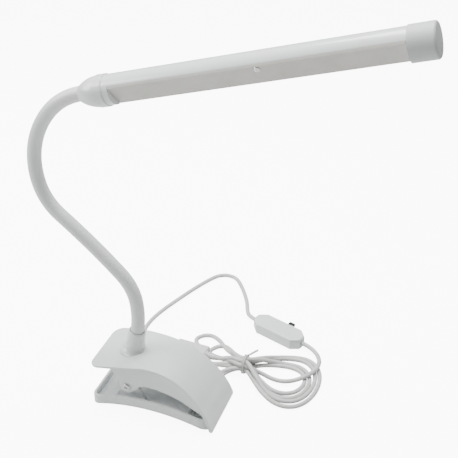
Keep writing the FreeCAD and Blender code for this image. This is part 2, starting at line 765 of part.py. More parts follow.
def make_head():
    place = head_place()
    radius, wall = size("tube_radius"), size("tube_wall")
    bell, ring = size("bell_long"), size("ring_long")
    arm = size("arm_radius")

    # neck bell: a bullet-shaped hollow turning, its nose round the arm's end
    nose = [V(arm + 0.55, 0, -bell), V(radius - 1.5, 0, -bell * 0.62), V(radius + 0.25, 0, -0.4)]
    bell_line = [
        Part.Arc(*nose),
        Part.LineSegment(nose[2], V(radius + 0.25, 0, 0)),
        Part.LineSegment(V(radius + 0.25, 0, 0), V(radius - 1.2, 0, 0)),
        Part.LineSegment(V(radius - 1.2, 0, 0), V(radius - 3.2, 0, -bell * 0.45)),
        Part.LineSegment(V(radius - 3.2, 0, -bell * 0.45), V(arm + 0.02, 0, -bell * 0.45)),
        Part.LineSegment(V(arm + 0.02, 0, -bell * 0.45), V(arm + 0.02, 0, -bell)),
        Part.LineSegment(V(arm + 0.02, 0, -bell), nose[0]),
    ]
    shaped("neck_bell", face_of(bell_line).revolve(V(0, 0, 0), V(0, 0, 1), 360), place)

    # the arm's upper fitting inside the bell
    turned_body(
        "neck_ferrule",
        [(1.5, -bell + 0.1), (3.6, -bell + 0.1), (3.6, -5.9), (5.9, -5.9), (5.9, -4.6), (3.4, -4.6)]
        + [(3.4, -0.6), (1.5, -0.6)],
        place,
    )

    # collar ring over the joint between bell and tube
    collar = new_body("head_collar", place)
    band = new_sketch(collar, "band", "0.05")
    draw_circle(band, "Sizes.ring_radius")
    draw_circle(band, "Sizes.tube_radius + 0.02")
    pad(collar, band, "Sizes.ring_long - 0.05")
    dress(
        collar,
        "Fillet",
        lambda e: e.BoundBox.XLength > 2 * radius + 1 and e.Length > 6.28 * (radius + 0.3),
        "0.25",
    )

    # tube with its window cut away, and a wall across the bore at each end of the window
    depth, thick = size("window_depth"), size("diffuser_thick")
    seat = depth - thick - 0.02
    start, end = size("tube_start"), size("tube_end")
    window_start, window_end = size("window_start"), size("window_end")
    tube = Part.makeCylinder(radius, end - start, V(0, 0, start)).cut(
        Part.makeCylinder(radius - wall, end, V(0, 0, start - 1))
    )
    opening = Part.makeBox(
        radius, 3 * radius, window_end - window_start, V(seat, -1.5 * radius, window_start)
    )
    tube = tube.cut(opening)
    # rails inside the tube that the LED board slides into
    rails = []
    for side in (-1, 1):
        for height in (-1.9, 0.9):
            rail = Part.makeBox(
                0.8, 3.4, end - start - 20, V(height, side * 6.6 - 1.7, start + 8)
            )
            rails.append(rail)
    ends = [
        Part.makeBox(radius, 3 * radius, 1.4, V(seat, -1.5 * radius, z))
        for z in (window_start - 1.4, window_end)
    ]
    inside = Part.makeCylinder(radius - wall + 0.3, end, V(0, 0, start))
    fillings = [piece.common(inside) for piece in rails + ends]
    peg_y = (radius**2 - depth**2) ** 0.5 - 2.7
    peg_z = (window_start + window_end) / 2 + 6.5
    pilot = Part.makeCylinder(1.0, 6.0, V(depth - 6, -peg_y, peg_z), V(1, 0, 0))
    shaped("head_tube", tube.multiFuse(fillings).removeSplitter().cut(pilot), place)

    strip = tube_section(radius - 0.02, depth - thick, depth)
    strip.translate(V(0, 0, window_start + 0.2))
    strip = strip.extrude(V(0, 0, window_end - window_start - 0.4))
    hole = Part.makeCylinder(1.05, 6, V(depth - 5, -peg_y, peg_z), V(1, 0, 0))
    shaped("diffuser", strip.cut(hole), place)
    lens_screw = [(0, -5.0), (1.0, -5.0), (1.0, 0.0), (2.1, 0.0), (1.9, 0.5), (0.9, 0.75), (0, 0.75)]
    spot = place.multVec(V(depth, -peg_y, peg_z))
    way = place.Rotation.multVec(V(1, 0, 0))
    turned_body("lens_screw", lens_screw, turned(way, spot, place.Rotation.multVec(V(0, 0, 1))))

    # LED strip: a board, its LEDs and resistors, and the wires from the neck
    board = new_body("led_board", place)
    blank = new_sketch(board, "blank", "Sizes.window_start + 4")
    draw_box(blank, "Sizes.board_thick", "Sizes.board_wide")
    pad(board, blank, "Sizes.board_long")
    lamp_x = size("board_thick") / 2
    first_led = window_start + 4 + (size("board_long") - size("led_pitch") * (size("led_count") - 1)) / 2
    leds = [
        Part.makeBox(0.8, 2.8, 3.5, V(lamp_x, -1.4, first_led + k * size("led_pitch") - 1.75))
        for k in range(int(size("led_count")))
    ]
    shaped("leds", Part.makeCompound(leds), place)
    resistors = [
        Part.makeBox(0.5, 1.3, 2.0, V(lamp_x, -4.6, first_led + (3 * k + 1.5) * size("led_pitch") - 1.0))
        for k in range(int(size("led_count") / 3))
    ]
    shaped("resistors", Part.makeCompound(resistors), place)
    wires = [
        Part.makeCylinder(0.55, window_start + 4.4, V(lamp_x + 0.56, y, -0.4)) for y in (-0.7, 0.7)
    ]
    shaped("head_wires", Part.makeCompound(wires), place)

    # end cap: a cup over the tube's end, its face slightly domed
    cap_start, cap_end, cap = size("cap_start"), size("cap_end"), size("cap_radius")
    rim = cap_end - 1.6
    dome_reach, dome_rise = cap - 1.5, 0.6
    dome = (dome_reach**2 + dome_rise**2) / (2 * dome_rise)
    dome_middle = cap_end - dome + math.sqrt(dome**2 - (dome_reach / 2) ** 2)
    cap_line = [
        Part.LineSegment(V(radius + 0.02, 0, cap_start), V(cap, 0, cap_start)),
        Part.LineSegment(V(cap, 0, cap_start), V(cap, 0, rim - 0.4)),
        Part.Arc(V(cap, 0, rim - 0.4), V(cap - 0.42, 0, rim + 0.55), V(dome_reach, 0, rim + 1.0)),
        Part.Arc(V(dome_reach, 0, rim + 1.0), V(dome_reach / 2, 0, dome_middle), V(0, 0, cap_end)),
        Part.LineSegment(V(0, 0, cap_end), V(0, 0, rim - 0.6)),
        Part.LineSegment(V(0, 0, rim - 0.6), V(radius + 0.02, 0, rim - 0.6)),
        Part.LineSegment(V(radius + 0.02, 0, rim - 0.6), V(radius + 0.02, 0, cap_start)),
    ]
    shaped("end_cap", face_of(cap_line).revolve(V(0, 0, 0), V(0, 0, 1), 360), place)


# ---------------------------------------------------------------- the switch on the cord


SCREW_X, SCREW_Y = (-12.5, 12.5), -3.8


def switch_place():
    return FreeCAD.Placement(
        V(size("switch_x"), size("switch_y"), 0),
        FreeCAD.Rotation(V(0, 0, 1), size("switch_yaw")),
    )


def switch_outline(inset):
    """A long box's plan with tapered ends, drawn in by an inset."""
    long, wide = size("switch_long") / 2 - inset, size("switch_wide") / 2 - inset
    tip, taper = size("switch_end_wide") / 2 - inset * 0.4, size("switch_taper")
    quarter = [(long, tip), (long - taper, wide)]
    right = [(x, -y) for x, y in quarter[::-1]] + quarter
    return right + [(-x, -y) for x, y in right]


def make_switch():
    half = "Sizes.switch_tall / 2"
    wall, tall = size("switch_wall"), size("switch_tall")
    cord = size("cord_diameter") / 2
    for label, low in (("switch_lower_shell", True), ("switch_upper_shell", False)):
        body = new_body(label, switch_place())
        block = new_sketch(body, "block", "0" if low else half)
        draw_outline(block, switch_outline(0.0))
        pad(body, block, half)
        edge = 0.0 if low else tall
        dress(
            body,
            "Fillet",
            lambda e: abs(e.BoundBox.ZMin - edge) < 0.01 and abs(e.BoundBox.ZMax - edge) < 0.01,
            "0.9" if low else "1.3",
        )
        room = new_sketch(body, "room", "Sizes.switch_wall" if low else "Sizes.switch_tall / 2 - 0.5")
        draw_outline(room, switch_outline(wall))
        pocket(body, room, "4.5" if low else "Sizes.switch_tall / 2 + 0.5 - Sizes.switch_wall")
        lead = new_sketch(body, "lead", "-Sizes.switch_long / 2 - 1", "YZ_Plane")
        draw_at(lead, 0.0, tall / 2, cord + 0.4)
        pocket(body, lead, "Sizes.switch_long + 2")
        posts = new_sketch(body, "posts", "Sizes.switch_wall - 0.2" if low else half)
        holes = new_sketch(body, "holes", "-0.5" if low else half + " - 0.5")
        for x in SCREW_X:
            draw_at(posts, x, SCREW_Y, 2.6)
            draw_at(holes, x, SCREW_Y, 1.15 if low else 0.9)
        pad(body, posts, half + " - Sizes.switch_wall" + (" + 0.2" if low else " + 0.2"))
        pocket(body, holes, "6" if low else "3.6")
        if low:
            sinks = new_sketch(body, "sinks", "-0.5")
            for x in SCREW_X:
                draw_at(sinks, x, SCREW_Y, 1.9)
            pocket(body, sinks, "2.1")
        else:
            slot = new_sketch(body, "slot", "-Sizes.switch_wide / 2 - 1", "XZ_Plane")
            x = size("knob_at")
            draw_outline(slot, [(x - 5, 5.9), (x + 5, 5.9), (x + 5, 8.7), (x - 5, 8.7)])
            pocket(body, slot, "3")

    # a slide switch module with a knob that sticks out of the far side wall
    far = size("switch_wide") / 2
    at = size("knob_at")
    module = Part.makeBox(16, 6.0, 5.8, V(at - 8, far - wall - 7.6, 1.7))
    track = Part.makeBox(13, 3.2, 3.4, V(at - 6.5, far - wall - 3.2, 5.0))
    shaped("switch_module", module.cut(track), switch_place())
    knob = Part.makeBox(9.0, 1.2, 2.4, V(at - 4.0 - 1.2, far - wall - 1.5, 6.1))
    stem = Part.makeBox(5.0, 6.8, 2.2, V(at - 3.2, far - wall - 0.6, 6.3))
    grip = blend_edges(stem, 0.5, lambda e: e.CenterOfMass.y > far + 2)
    shaped("switch_knob", grip.fuse(knob).removeSplitter(), switch_place())
    tabs = [
        Part.makeBox(0.6, 2.2, 1.6, V(at - 5.5 + 4.6 * k, far - wall - 9.8, 3.0)) for k in range(3)
    ]
    shaped("switch_terminals", Part.makeCompound(tabs), switch_place())
    screws = []
    for x in SCREW_X:
        shank = Part.makeCylinder(0.88, 7.0, V(x, SCREW_Y, 1.0))
        head = Part.makeCylinder(1.7, 1.1, V(x, SCREW_Y, 0.45))
        cross = [Part.makeBox(2.0, 0.4, 0.6, V(x - 1, SCREW_Y - 0.2, 0.4))]
        cross.append(Part.makeBox(0.4, 2.0, 0.6, V(x - 0.2, SCREW_Y - 1, 0.4)))
        screws.append(shank.fuse(head).cut(Part.makeCompound(cross)).removeSplitter())
    shaped("switch_screws", Part.makeCompound(screws), switch_place())


def draw_at(sketch, x, y, radius):
    """A circle at a point of the sketch."""
    index = sketch.addGeometry(Part.Circle(V(x, y, 0), V(0, 0, 1), radius))
    sketch.addConstraint(Sketcher.Constraint("Radius", index, radius))


# ---------------------------------------------------------------- the plug


def plug_place():
    """Local X runs from the grip's rear to the metal shell."""
    return FreeCAD.Placement(
        V(size("plug_x"), size("plug_y"), size("plug_z")),
        FreeCAD.Rotation(V(0, 0, 1), size("plug_yaw")),
    )


def make_plug():
    place = plug_place()
    grip = new_body("plug_grip", place)
    block = new_sketch(grip, "block", "0", "YZ_Plane")
    draw_box(block, "Sizes.grip_wide", "Sizes.grip_tall")
    pad(grip, block, "Sizes.grip_long")
    dress(grip, "Fillet", lambda e: runs_along(e, V(1, 0, 0)), "2.6")
    dress(grip, "Fillet", lambda e: e.BoundBox.XLength < 0.01, "1.2")
    socket = new_sketch(grip, "socket", "Sizes.grip_long - 6", "YZ_Plane")
    draw_box(socket, "Sizes.shell_wide + 0.04", "Sizes.shell_tall + 0.04")
    pocket(grip, socket, "8")
    lead = new_sketch(grip, "lead", "-1", "YZ_Plane")
    draw_circle(lead, "Sizes.cord_diameter / 2")
    pocket(grip, lead, "5")

    shell = new_body("plug_shell", place)
    case = new_sketch(shell, "case", "Sizes.grip_long - 5.9", "YZ_Plane")
    draw_box(case, "Sizes.shell_wide", "Sizes.shell_tall")
    pad(shell, case, "Sizes.shell_long + 5.9")
    dress(shell, "Fillet", lambda e: runs_along(e, V(1, 0, 0)), "0.5")
    room = new_sketch(shell, "room", "Sizes.grip_long - 5.4", "YZ_Plane")
    draw_box(room, "Sizes.shell_wide - 0.7", "Sizes.shell_tall - 0.7")
    pocket(shell, room, "Sizes.shell_long + 6")
    latch = new_sketch(shell, "latch", "-4")
    middle = size("grip_long") + 6.2
    for y in (-2.9, 2.9):
        corners = [(middle - 1.1, y - 1.1), (middle + 1.1, y - 1.1), (middle + 1.1, y + 1.1)]
        draw_outline(latch, corners + [(middle - 1.1, y + 1.1)])
    pocket(shell, latch, "8")

    tongue = new_body("plug_tongue", place)
    blade = new_sketch(tongue, "blade", "Sizes.grip_long - 5.3", "YZ_Plane")
    blade.AttachmentOffset = FreeCAD.Placement(V(0, -0.85, 0), FreeCAD.Rotation())
    blade.setExpression("AttachmentOffset.Base.z", "Sizes.grip_long - 5.3")
    draw_box(blade, "Sizes.shell_wide - 1.0", "1.9")
    pad(tongue, blade, "Sizes.shell_long + 4.7")
    contacts = [
        Part.makeBox(8.6, 1.0, 0.25, V(size("grip_long") + 2.6, y - 0.5, 0.1))
        for y in (-3.5, -1.0, 1.0, 3.5)
    ]
    shaped("plug_contacts", Part.makeCompound(contacts), place)

    cord = size("cord_diameter") / 2
    ribs = [(cord, 0.0), (3.3, 0.0), (3.3, 1.2)]
    for k in range(3):
        start = 1.2 + 1.9 * k
        ribs += [(2.35, start + 0.1), (2.3, start + 0.8), (3.0 - 0.22 * k, start + 0.9)]
        ribs += [(2.9 - 0.22 * k, start + 1.9)]
    ribs += [(2.15, 7.0), (2.05, 7.6), (cord, 7.6)]
    back = place.Rotation.multVec(V(-1, 0, 0))
    turned_body("plug_strain_relief", ribs, turned(back, place.Base, V(0, 0, 1)))


# ---------------------------------------------------------------- the cord

FLOOR = 1.8  # the height of the cord's centre where it lies on the table

LEAD_ROUTE = (
    (-82.0, 36.0, 7.6),
    (-82.6, 45.0, 6.2),
    (-85.6, 54.5, 3.0),
    (-90.0, 64.0, FLOOR),
    (-92.3, 76.0, FLOOR),
    (-89.5, 95.0, FLOOR),
    (-81.5, 118.5, FLOOR),
    (-72.5, 142.5, FLOOR),
    (-64.8, 158.6, FLOOR),
    (-60.1, 165.1, FLOOR),
    (-53.8, 168.0, FLOOR),
    (-46.8, 167.3, FLOOR),
    (-41.1, 163.3, FLOOR),
    (-34.3, 154.0, FLOOR),
    (-29.2, 146.0, FLOOR),
    (-22.9, 134.5, FLOOR),
    (-18.4, 121.8, 3.0),
    (-13.8, 113.6, 4.6),
    (-4.4, 109.0, 5.0),
)

TAIL_ROUTE = (
    (36.0, 95.05, 5.0),
    (44.0, 92.6, 4.4),
    (50.8, 88.2, 3.8),
    (55.4, 81.8, 3.9),
    (58.0, 74.4, 4.6),
    (58.0, 67.4, 5.2),
    (56.2, 61.2, 5.5),
)

PLUG_ROUTE = (
    (-22.4, 54.15, 4.1),
    (-15.0, 53.8, 4.3),
    (-8.6, 52.6, 5.2),
    (-2.0, 51.4, 6.0),
)


def tube(name, points, diameter):
    """Straight runs joined by tangent arcs, each as large as its two runs allow."""
    points = [V(*point) for point in points]
    edges, radii, last = [], [], points[0]
    for before, corner, after in zip(points, points[1:], points[2:]):
        back, on = before - corner, after - corner
        reach = 0.45 * min(back.Length, on.Length)
        half = (math.pi - back.getAngle(on)) / 2
        radius = reach / math.tan(half)
        back.normalize()
        on.normalize()
        middle = (back + on).normalize() * (radius * (1 / math.cos(half) - 1))
        arc = Part.Arc(corner + back * reach, corner + middle, corner + on * reach)
        edges += [Part.LineSegment(last, arc.StartPoint).toShape(), arc.toShape()]
        radii.append(radius)
        last = arc.EndPoint
    edges.append(Part.LineSegment(last, points[-1]).toShape())
    path = Part.Wire(edges)
    ring = Part.Wire(Part.makeCircle(diameter / 2, points[0], points[1] - points[0]))
    solid = path.makePipeShell([ring], True, False)
    expected = math.pi * diameter * diameter / 4 * path.Length
    print("%s: length %.1f, smallest bend %.1f, bends" % (name, path.Length, min(radii)), end=" ")
    print([round(r, 1) for r in radii], "volume share %.4f" % (solid.Volume / expected))
    shaped(name, solid)
    return path.Length


def lobe(x, y, long, wide, tall, yaw, hole=0.0):
    """A flat oval slab lying on the table, with an oval hole for a share of its size."""
    face = Part.Face(Part.Wire(Part.Ellipse(V(0, 0, 0), long, wide).toShape()))
    solid = face.extrude(V(0, 0, tall))
    if hole:
        gap = Part.Face(Part.Wire(Part.Ellipse(V(-2, 0, 0), long * hole, wide * hole).toShape()))
        solid = solid.cut(gap.extrude(V(0, 0, tall)))
    solid.Placement = FreeCAD.Placement(V(x, y, 0), FreeCAD.Rotation(V(0, 0, 1), yaw))
    return solid


TIE_UNDER = 1.55  # the waist is lifted by the tie that passes under it


def make_hank():
    """The spare cord folded into a hank: the outer shape of its turns, tied at the waist."""
    radius = size("bundle_radius")
    tie = V(size("tie_x"), size("tie_y"), radius + TIE_UNDER)
    waist = Part.makeCylinder(radius, 13.0, tie - V(6.5, 0, 0), V(1, 0, 0))
    neck = Part.makeCylinder(3.2, 14.0, V(-7.6, 63.4, 3.5), V(8.4, -10.4, 2.6))
    parts = [
        lobe(34.4, 50.0, 27.9, 27.6, 7.4, 0.0, 0.42),
        lobe(-25.5, 70.6, 26.5, 7.2, 6.0, 161.0),
        lobe(-23.5, 39.0, 25.0, 7.6, 6.0, 201.0),
    ]
    hank = waist.multiFuse([neck] + parts).removeSplitter()
    if len(hank.Solids) != 1:
        raise ValueError("the hank is %d solids" % len(hank.Solids))
    shaped("cord_hank", hank)
    ring = Part.makeTorus(radius + 0.8, 0.7, tie, V(1, 0, 0))
    ring2 = Part.makeTorus(radius + 0.8, 0.7, tie + V(1.2, 0, 0), V(1, 0, 0))
    twist = Part.makeCylinder(0.9, 11.0, tie + V(0.6, 6.2, 3.5), V(5.5, 10.0, -0.4))
    shaped("twist_tie", ring.fuse(ring2).fuse(twist).removeSplitter())


def main():
    shaped("upper_jaw", make_upper_jaw())
    shaped("lower_jaw", make_lower_jaw())
    make_pads()
    make_hinge()
    make_spring()
    make_gland()
    make_socket()
    make_arm()
    make_head()
    make_switch()
    make_plug()
    thick = size("cord_diameter")
    tube("cord_lead", LEAD_ROUTE, thick)
    tube("cord_tail", TAIL_ROUTE, thick)
    tube("cord_plug_run", PLUG_ROUTE, thick)
    make_hank()

    doc.recompute()
    for thing in doc.Objects:
        if "Invalid" in thing.State or "Error" in thing.State:
            raise ValueError("%s failed: %s" % (thing.Label, thing.State))
    os.makedirs("parts", exist_ok=True)
    for piece in PIECES:
        shape = piece.Shape
        if shape.isNull() or not shape.isValid() or not shape.Solids:
            raise ValueError("%s has no sound solid" % piece.Label)
        shape.exportStep("parts/%s.step" % piece.Label)
    print(len(PIECES), "pieces")


main()
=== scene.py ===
"""Finishes and cords of the clip-on reading lamp. Metres, in the lamp's own frame."""

import json
import math

import bpy
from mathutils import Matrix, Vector


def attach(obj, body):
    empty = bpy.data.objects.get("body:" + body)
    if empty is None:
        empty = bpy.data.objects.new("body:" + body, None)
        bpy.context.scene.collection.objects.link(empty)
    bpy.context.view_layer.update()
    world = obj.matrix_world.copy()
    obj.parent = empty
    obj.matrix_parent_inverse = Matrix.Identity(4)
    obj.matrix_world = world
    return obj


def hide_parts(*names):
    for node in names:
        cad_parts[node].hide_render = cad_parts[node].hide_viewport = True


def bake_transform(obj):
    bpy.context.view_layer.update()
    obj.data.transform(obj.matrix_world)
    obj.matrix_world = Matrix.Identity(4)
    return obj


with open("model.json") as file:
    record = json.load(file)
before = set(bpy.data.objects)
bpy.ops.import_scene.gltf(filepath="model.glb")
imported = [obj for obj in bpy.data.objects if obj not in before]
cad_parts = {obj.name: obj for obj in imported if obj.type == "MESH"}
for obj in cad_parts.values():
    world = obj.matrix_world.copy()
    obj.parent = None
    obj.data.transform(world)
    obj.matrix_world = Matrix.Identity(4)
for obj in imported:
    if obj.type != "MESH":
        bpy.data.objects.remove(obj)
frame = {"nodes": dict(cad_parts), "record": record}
bpy.ops.object.select_all(action="DESELECT")


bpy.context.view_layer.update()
MM = 0.001

# ---------------------------------------------------------------- camera, floor and light

EYE = Vector((0.1777, -0.4633, 0.4715))
LOOK = Vector((-0.2900, 0.7970, -0.5300))
LENS = 70.74
FLOOR_WIDE = 6.0
FLOOR_DROP = 0.0002  # keeps the floor just clear of what stands on it
FLOOR_GLOW = 9.0  # only what the camera sees of it: it lights nothing
SKY = 0.28
LIT = (-0.03, 0.03, 0.12)  # the lamp's middle, which every softbox faces
SOFTBOXES = (
    # name, place, side, power in watts
    ("overhead", (-0.1, 0.25, 1.15), 0.7, 27.0),
    ("left_side", (-0.95, -0.25, 0.65), 0.6, 10.0),
    ("front_fill", (0.5, -0.9, 0.5), 0.7, 0.2),
)


def add_camera():
    bpy.ops.object.camera_add(location=EYE)
    camera = bpy.context.object
    camera.rotation_euler = LOOK.to_track_quat("-Z", "Y").to_euler()
    camera.data.sensor_width = 36.0
    camera.data.lens = LENS
    camera.data.clip_start = 0.01
    bpy.context.scene.camera = camera


def add_floor():
    bpy.ops.mesh.primitive_plane_add(size=FLOOR_WIDE, location=(0, 0, -FLOOR_DROP))
    floor = bpy.context.object
    floor.name = "floor"
    shade = bpy.data.materials.new("white_table")
    shade.use_nodes = True
    surface = shade.node_tree.nodes["Principled BSDF"]
    surface.inputs["Base Color"].default_value = (0.7, 0.7, 0.7, 1)
    surface.inputs["Roughness"].default_value = 0.75
    surface.inputs["Specular IOR Level"].default_value = 0.2
    surface.inputs["Emission Color"].default_value = (1, 1, 1, 1)
    seen = shade.node_tree.nodes.new("ShaderNodeLightPath")
    glow = shade.node_tree.nodes.new("ShaderNodeMath")
    glow.operation = "MULTIPLY"
    shade.node_tree.links.new(seen.outputs["Is Camera Ray"], glow.inputs[0])
    glow.inputs[1].default_value = FLOOR_GLOW
    shade.node_tree.links.new(glow.outputs[0], surface.inputs["Emission Strength"])
    floor.data.materials.append(shade)


def add_softbox(name, place, size, power):
    bpy.ops.object.light_add(type="AREA", location=place)
    lamp = bpy.context.object
    lamp.name = name
    lamp.data.size = size
    lamp.data.energy = power
    lamp.rotation_euler = (Vector(LIT) - Vector(place)).to_track_quat("-Z", "Y").to_euler()


def add_lights():
    world = bpy.data.worlds.new("studio")
    bpy.context.scene.world = world
    world.use_nodes = True
    world.node_tree.nodes["Background"].inputs["Color"].default_value = (1, 1, 1, 1)
    world.node_tree.nodes["Background"].inputs["Strength"].default_value = SKY
    for softbox in SOFTBOXES:
        add_softbox(*softbox)


# ---------------------------------------------------------------- finishes

SKIN_DEPTH = 0.00006  # how far the moulded skin's relief rises


def new_group(name, inputs, outputs):
    """An empty node group with plain number inputs and the outputs named by socket type."""
    group = bpy.data.node_groups.new(name, "ShaderNodeTree")
    for label, value in inputs:
        socket = group.interface.new_socket(label, in_out="INPUT", socket_type="NodeSocketFloat")
        socket.default_value = value
    for label, kind in outputs:
        group.interface.new_socket(label, in_out="OUTPUT", socket_type=kind)
    return group, group.nodes.new("NodeGroupInput"), group.nodes.new("NodeGroupOutput")


def object_noise(tree, detail):
    """Noise in the object's own metres."""
    place = tree.nodes.new("ShaderNodeTexCoord")
    noise = tree.nodes.new("ShaderNodeTexNoise")
    noise.inputs["Detail"].default_value = detail
    tree.links.new(place.outputs["Object"], noise.inputs["Vector"])
    return noise


def make_moulding_group():
    """Faint flow mottling, a roughness that wanders and a fine moulded skin."""
    group, given, out = new_group(
        "moulded_skin",
        (("Broad", 60.0), ("Fine", 900.0), ("Rough", 0.3), ("Wander", 0.06), ("Relief", 0.1)),
        (("Mask", "NodeSocketFloat"), ("Roughness", "NodeSocketFloat"), ("Normal", "NodeSocketVector")),
    )
    broad = object_noise(group, 3.0)
    group.links.new(given.outputs["Broad"], broad.inputs["Scale"])
    fine = object_noise(group, 5.0)
    group.links.new(given.outputs["Fine"], fine.inputs["Scale"])
    centred = group.nodes.new("ShaderNodeMath")
    centred.operation = "SUBTRACT"
    group.links.new(broad.outputs["Fac"], centred.inputs[0])
    centred.inputs[1].default_value = 0.5
    wander = group.nodes.new("ShaderNodeMath")
    wander.operation = "MULTIPLY_ADD"
    group.links.new(centred.outputs[0], wander.inputs[0])
    group.links.new(given.outputs["Wander"], wander.inputs[1])
    group.links.new(given.outputs["Rough"], wander.inputs[2])
    bump = group.nodes.new("ShaderNodeBump")
    bump.inputs["Distance"].default_value = SKIN_DEPTH
    group.links.new(given.outputs["Relief"], bump.inputs["Strength"])
    group.links.new(fine.outputs["Fac"], bump.inputs["Height"])
    group.links.new(broad.outputs["Fac"], out.inputs["Mask"])
    group.links.new(wander.outputs[0], out.inputs["Roughness"])
    group.links.new(bump.outputs["Normal"], out.inputs["Normal"])
    return group


MOULDED = make_moulding_group()


def finish(name, dark, light, rough, wander=0.06, relief=0.1, fine=900.0, broad=60.0, **plain):
    """A material whose colour drifts between two shades, with a moulded skin; plain sets sockets."""
    material = bpy.data.materials.new(name)
    material.use_nodes = True
    tree = material.node_tree
    surface = tree.nodes["Principled BSDF"]
    skin = tree.nodes.new("ShaderNodeGroup")
    skin.node_tree = MOULDED
    for label, value in (
        ("Broad", broad),
        ("Fine", fine),
        ("Rough", rough),
        ("Wander", wander),
        ("Relief", relief),
    ):
        skin.inputs[label].default_value = value
    ramp = tree.nodes.new("ShaderNodeValToRGB")
    ramp.color_ramp.elements[0].position = 0.3
    ramp.color_ramp.elements[1].position = 0.7
    ramp.color_ramp.elements[0].color = (*dark, 1)
    ramp.color_ramp.elements[1].color = (*light, 1)
    tree.links.new(skin.outputs["Mask"], ramp.inputs["Fac"])
    tree.links.new(ramp.outputs["Color"], surface.inputs["Base Color"])
    tree.links.new(skin.outputs["Roughness"], surface.inputs["Roughness"])
    tree.links.new(skin.outputs["Normal"], surface.inputs["Normal"])
    for label, value in plain.items():
        surface.inputs[label.replace("_", " ")].default_value = value
    return material


def make_finishes():
    return {
        "white_gloss": finish(
            "gloss_white_moulding", (0.76, 0.79, 0.79), (0.80, 0.825, 0.825), 0.2, 0.05, 0.05,
            Coat_Weight=0.5, Coat_Roughness=0.08,
        ),
        # the end cap's white is painted darker than the other whites, as painted shade for the side
        # turned from the light; its satin roughness without a coat is its own finish
        "shaded_cap_satin": finish(
            "satin_end_cap_painted_shade", (0.56, 0.58, 0.58), (0.61, 0.63, 0.63), 0.5, 0.08, 0.2, 1200.0
        ),
        "sleeve_white": finish(
            "satin_arm_sleeve", (0.76, 0.78, 0.78), (0.80, 0.82, 0.82), 0.36, 0.06, 0.05, 1400.0
        ),
        "steel_core": finish(
            "wound_core", (0.42, 0.42, 0.43), (0.55, 0.55, 0.56), 0.38, 0.1, 0.3, Metallic=1.0
        ),
        "bright_steel": finish(
            "plated_steel", (0.60, 0.60, 0.61), (0.72, 0.72, 0.73), 0.22, 0.1, 0.12, Metallic=1.0
        ),
        "spring_steel": finish(
            "spring_wire", (0.22, 0.22, 0.23), (0.36, 0.36, 0.37), 0.34, 0.1, 0.15, Metallic=1.0
        ),
        "grip_rubber": finish(
            "grip_rubber", (0.42, 0.45, 0.43), (0.50, 0.53, 0.51), 0.7, 0.1, 0.5, 1600.0
        ),
        "frosted": finish(
            "frosted_strip", (0.60, 0.59, 0.55), (0.66, 0.65, 0.61), 0.48, 0.08, 0.35, 2200.0,
            Subsurface_Weight=0.12, Subsurface_Scale=0.002,
        ),
        "board_white": finish("solder_mask", (0.72, 0.73, 0.71), (0.79, 0.80, 0.78), 0.35),
        "led_yellow": finish("phosphor_face", (0.68, 0.52, 0.14), (0.76, 0.62, 0.22), 0.4),
        "resistor_black": finish("chip_body", (0.02, 0.02, 0.02), (0.05, 0.05, 0.05), 0.45),
        "wire_red": finish("wire_jacket", (0.42, 0.05, 0.04), (0.52, 0.07, 0.05), 0.45),
        "cord_white": finish(
            "cord_jacket", (0.54, 0.55, 0.53), (0.61, 0.62, 0.60), 0.42, 0.1, 0.3, 1500.0, 120.0
        ),
        "switch_white": finish(
            "switch_shell", (0.74, 0.77, 0.77), (0.79, 0.82, 0.82), 0.24, 0.06, 0.06,
            Coat_Weight=0.35, Coat_Roughness=0.1,
        ),
        "knob_black": finish("slide_knob", (0.012, 0.012, 0.012), (0.03, 0.03, 0.03), 0.4, 0.1, 0.3),
        "module_grey": finish("module_case", (0.10, 0.10, 0.11), (0.16, 0.16, 0.17), 0.5),
        "contact_brass": finish(
            "plated_brass", (0.62, 0.46, 0.18), (0.74, 0.57, 0.26), 0.28, 0.1, 0.1, Metallic=1.0
        ),
        "tie_plastic": finish(
            "tie_strip", (0.48, 0.51, 0.48), (0.58, 0.61, 0.58), 0.4, 0.1, 0.3, Alpha=0.85
        ),
        "plug_white": finish(
            "plug_moulding", (0.60, 0.61, 0.60), (0.67, 0.68, 0.67), 0.38, 0.08, 0.25, 1300.0
        ),
    }


def dress_nodes(finishes):
    """Every carried-over solid takes the finish of its slot; the end cap is more satin, and its white
    is painted darker as painted shade.
    """
    for row in frame["record"]["subparts"]:
        node = frame["nodes"][row["node"]]
        slot = "shaded_cap_satin" if row["node"] == "end_cap" else row["material_slot"]
        material = finishes[slot]
        if not node.data.materials:
            node.data.materials.append(material)
        for spot in node.material_slots:
            spot.material = material


# ---------------------------------------------------------------- cords

CORD = 3.5 * MM
LIE = 1.8  # height of the cord's middle where it lies on the table, in millimetres

LEAD_ROUTE = (
    (-82.0, 36.0, 7.6),
    (-82.6, 45.0, 6.2),
    (-85.6, 54.5, 3.0),
    (-90.0, 64.0, LIE),
    (-92.3, 76.0, LIE),
    (-89.5, 95.0, LIE),
    (-81.5, 118.5, LIE),
    (-72.5, 142.5, LIE),
    (-64.8, 158.6, LIE),
    (-60.1, 165.1, LIE),
    (-53.8, 168.0, LIE),
    (-46.8, 167.3, LIE),
    (-41.1, 163.3, LIE),
    (-34.3, 154.0, LIE),
    (-29.2, 146.0, LIE),
    (-22.9, 134.5, LIE),
    (-18.4, 121.8, 3.0),
    (-13.8, 113.6, 4.6),
    (-4.4, 109.0, 5.0),
)

# from the switch to the hank, then over the right-hand turns and back to the tie
TAIL_ROUTE = (
    (36.0, 95.05, 5.0),
    (44.0, 92.6, 4.4),
    (50.8, 88.2, 3.8),
    (55.4, 81.8, 4.6),
    (58.0, 74.4, 5.6),
    (58.0, 67.4, 5.8),
    (55.4, 60.2, 5.6),
    (50.3, 53.4, 5.2),
    (43.5, 48.6, 3.8),
    (35.8, 46.6, 2.6),
    (27.3, 46.9, 2.6),
    (18.4, 48.6, 4.2),
)

